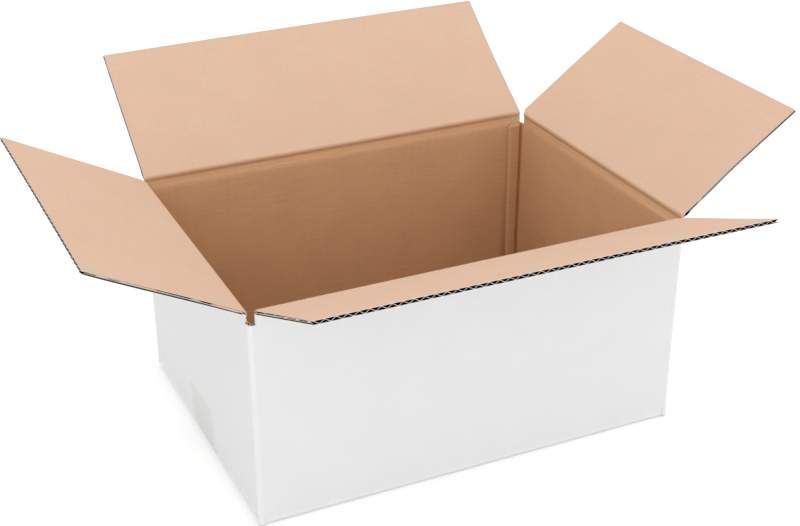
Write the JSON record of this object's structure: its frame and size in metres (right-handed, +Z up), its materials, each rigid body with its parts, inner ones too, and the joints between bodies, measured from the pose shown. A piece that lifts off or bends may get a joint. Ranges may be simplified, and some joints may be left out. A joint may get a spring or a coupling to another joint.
{
  "type": "cardboard shipping box",
  "caption": "Open rectangular box of single-wall corrugated board, white outside and brown inside, with hinged top flaps and a taped bottom.",
  "frame": {"origin": "centre of the face that the closed box rests on, under the seam of the bottom flaps", "axes": "+X along the box's length, +Y from its front long wall to its back long wall, +Z up through the open top"},
  "size_m": [0.488, 0.4109, 0.2193],
  "materials": {
    "board": "matt white liner outside, plain brown liner inside",
    "clear_tape": "clear glossy film"
  },
  "bodies": {
    "box": {"box_body": "board", "bottom_tape": "clear_tape"},
    "front_flap": {"front_top_flap": "board"},
    "back_flap": {"back_top_flap": "board"},
    "left_flap": {"left_top_flap": "board"},
    "right_flap": {"right_top_flap": "board"}
  },
  "joints": [
    {"name": "front_flap_hinge", "type": "hinge", "parent": "box", "child": "front_flap", "pos_m": [0, -0.1126, 0.1522], "axis": [1, 0, 0], "range_deg": [-157, 93]},
    {"name": "back_flap_hinge", "type": "hinge", "parent": "box", "child": "back_flap", "pos_m": [0, 0.1126, 0.1522], "axis": [-1, 0, 0], "range_deg": [-143, 107]},
    {"name": "left_flap_hinge", "type": "hinge", "parent": "box", "child": "left_flap", "pos_m": [-0.1526, 0, 0.1493], "axis": [0, -1, 0], "range_deg": [-152, 98]},
    {"name": "right_flap_hinge", "type": "hinge", "parent": "box", "child": "right_flap", "pos_m": [0.1526, 0, 0.1493], "axis": [0, 1, 0], "range_deg": [-144, 106]}
  ]
}
